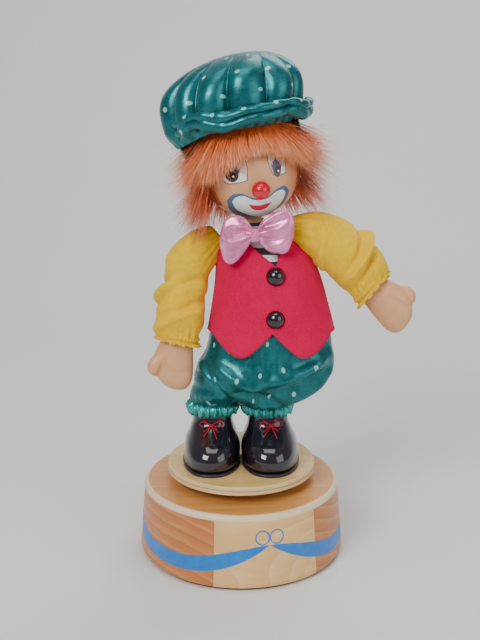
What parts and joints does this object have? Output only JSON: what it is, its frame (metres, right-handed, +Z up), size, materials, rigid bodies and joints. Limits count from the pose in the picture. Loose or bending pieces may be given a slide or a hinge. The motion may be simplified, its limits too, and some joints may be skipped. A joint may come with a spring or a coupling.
{
  "type": "wind-up musical clown",
  "caption": "Cloth-dressed clown doll standing on a wooden drum; a wound music movement inside turns the disc under its feet.",
  "frame": {"origin": "on the turning axis, at the plane the drum's felt foot stands on", "axes": "+Z up; the clown faces -Y; +X towards the clown's left hand"},
  "size_m": [0.125, 0.096, 0.2296],
  "materials": {
    "wood_drum": "clear satin lacquer over turned laminated wood",
    "wood_disc": "clear satin lacquer on plywood",
    "hardboard": "plain hardboard",
    "dowel": "plain",
    "felt": "felt",
    "steel": "zinc plated",
    "spring_steel": "blued",
    "brass": "plain",
    "zinc_cast": "cast",
    "nylon": "moulded",
    "shoe_black": "glossy moulded",
    "sole_black": "satin",
    "lace_red": "cord",
    "satin_teal": "satin with pale dots",
    "satin_pink": "satin ribbon",
    "cotton_stripe": "cotton, striped front",
    "felt_red": "felt",
    "button_black": "glossy dome",
    "cotton_yellow": "woven cotton",
    "vinyl_skin": "soft vinyl, painted face",
    "nose_red": "glossy ball",
    "fur_orange": "long pile fur",
    "cork": "plain peg"
  },
  "bodies": {
    "base": {"drum": "wood_drum", "drum_lid": "wood_drum", "felt_ring": "felt", "bottom_board": "hardboard", "board_screws": "steel", "key_bush": "steel", "bedplate": "zinc_cast", "bedplate_screws": "steel", "bearings": "brass", "comb": "spring_steel", "comb_block": "zinc_cast", "comb_screws": "steel", "governor_bracket": "zinc_cast", "clutch_spring": "spring_steel"},
    "winder": {"winding_key": "steel", "winding_arbor": "steel"},
    "turntable": {"spring_barrel": "brass", "barrel_lid": "brass", "mainspring": "spring_steel", "spindle_nut": "steel", "disc_hub": "steel", "hub_screws": "steel", "turning_disc": "wood_disc", "shoe_screws": "steel", "soles": "sole_black", "shoe_left": "shoe_black", "shoe_right": "shoe_black", "laces": "lace_red", "leg_dowels": "dowel", "trousers": "satin_teal", "trouser_frills": "satin_teal", "striped_shirt": "cotton_stripe", "vest": "felt_red", "vest_buttons": "button_black", "bow_tie": "satin_pink", "bow_knot": "satin_pink", "neck_plug": "cork"},
    "music_cylinder": {"cylinder": "brass", "cylinder_shaft": "steel", "cylinder_pinion": "brass", "cylinder_gear": "brass"},
    "governor": {"governor_wheel": "brass", "governor_pinion": "steel"},
    "air_brake": {"worm": "nylon", "worm_shaft": "steel", "fan": "nylon"},
    "arm_left": {"sleeve_left": "cotton_yellow", "cuff_left": "cotton_yellow", "hand_left": "vinyl_skin", "arm_wire_left": "steel"},
    "arm_right": {"sleeve_right": "cotton_yellow", "cuff_right": "cotton_yellow", "hand_right": "vinyl_skin", "arm_wire_right": "steel"},
    "head": {"head": "vinyl_skin", "nose": "nose_red", "wig": "fur_orange", "cap_crown": "satin_teal", "cap_brim": "satin_teal"}
  },
  "joints": [
    {"name": "turntable_spin", "type": "hinge", "parent": "base", "child": "turntable", "pos_m": [0, 0, 0.035], "axis": [0, 0, 1], "continuous": true},
    {"name": "key_wind", "type": "hinge", "parent": "base", "child": "winder", "pos_m": [0, 0, 0.01], "axis": [0, 0, 1], "continuous": true},
    {"name": "cylinder_spin", "type": "hinge", "parent": "base", "child": "music_cylinder", "pos_m": [0.0154, 0, 0.02175], "axis": [1, 0, 0], "continuous": true},
    {"name": "governor_spin", "type": "hinge", "parent": "base", "child": "governor", "pos_m": [0.0284, 0.0075, 0.02175], "axis": [1, 0, 0], "continuous": true},
    {"name": "air_brake_spin", "type": "hinge", "parent": "base", "child": "air_brake", "pos_m": [0.0307, 0.0123, 0.02175], "axis": [0, 0, 1], "continuous": true},
    {"name": "head_turn", "type": "hinge", "parent": "turntable", "child": "head", "pos_m": [0.0045, -0.0005, 0.157], "axis": [0, 0, 1], "range_deg": [-50, 40]},
    {"name": "arm_left_lift", "type": "hinge", "parent": "turntable", "child": "arm_left", "pos_m": [0.0305, 0.0005, 0.14959], "axis": [0, -1, 0], "range_deg": [-8, 45]},
    {"name": "arm_right_lift", "type": "hinge", "parent": "turntable", "child": "arm_right", "pos_m": [-0.0195, 0.0005, 0.14475], "axis": [0, 1, 0], "range_deg": [0, 60]}
  ],
  "couplings": [
    {"joint": "cylinder_spin", "follows": "turntable_spin", "ratio": 3},
    {"joint": "governor_spin", "follows": "turntable_spin", "ratio": -12},
    {"joint": "air_brake_spin", "follows": "turntable_spin", "ratio": 180}
  ]
}
